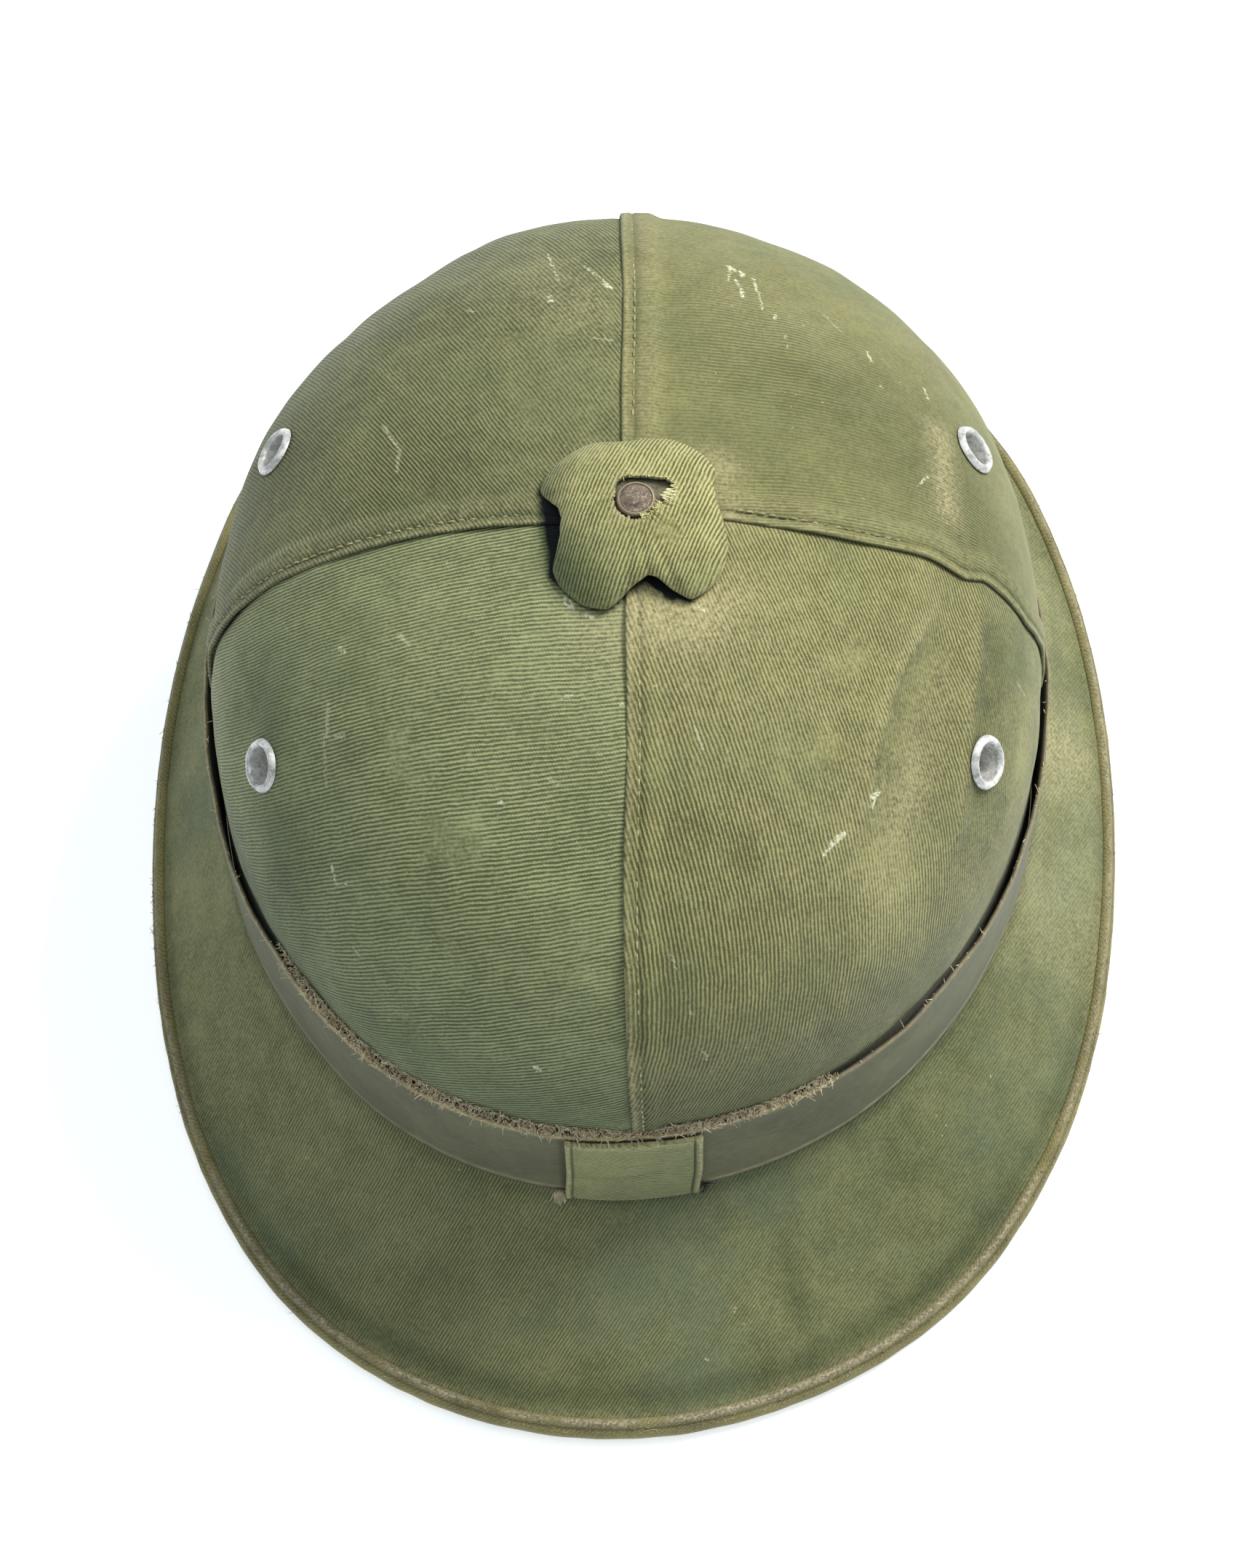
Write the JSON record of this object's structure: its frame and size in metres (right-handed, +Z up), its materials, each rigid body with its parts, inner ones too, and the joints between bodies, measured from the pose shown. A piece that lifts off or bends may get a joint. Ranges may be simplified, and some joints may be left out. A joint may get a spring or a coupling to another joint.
{
  "type": "pith helmet",
  "caption": "Cloth-covered sun helmet: domed crown of sewn panels, free-edged hat band with a front tab, vent eyelets, lobed ventilator cap and sloping brim with a rolled rim.",
  "frame": {"origin": "on the surface it rests on, under the middle of the rim's outline", "axes": "-Y is the front, where the tab is; +Z is up through the crown; +X is to the right when the front is seen"},
  "size_m": [0.2428, 0.3202, 0.1525],
  "materials": {
    "pressed_shell": "matt pressed cork and fibre",
    "twill_cover": "worn olive cotton twill",
    "band_cloth": "flat olive cotton",
    "rim_roll": "rolled cotton edge, rubbed beige",
    "eyelet_metal": "whitish, oxidised",
    "core_fibre": "dark stiff underlayer",
    "rivet_steel": "dull brown, worn"
  },
  "bodies": {
    "root": {"shell": "pressed_shell", "panel_front_right": "twill_cover", "panel_back_right": "twill_cover", "panel_back_left": "twill_cover", "panel_front_left": "twill_cover", "brim_cover": "twill_cover", "brim_binding": "rim_roll", "hat_band": "band_cloth", "front_tab": "band_cloth", "eyelet_left_front": "eyelet_metal", "eyelet_right_front": "eyelet_metal", "eyelet_left_back": "eyelet_metal", "eyelet_right_back": "eyelet_metal", "vent_cap": "twill_cover", "cap_core": "core_fibre", "cap_rivet": "rivet_steel"}
  },
  "joints": []
}
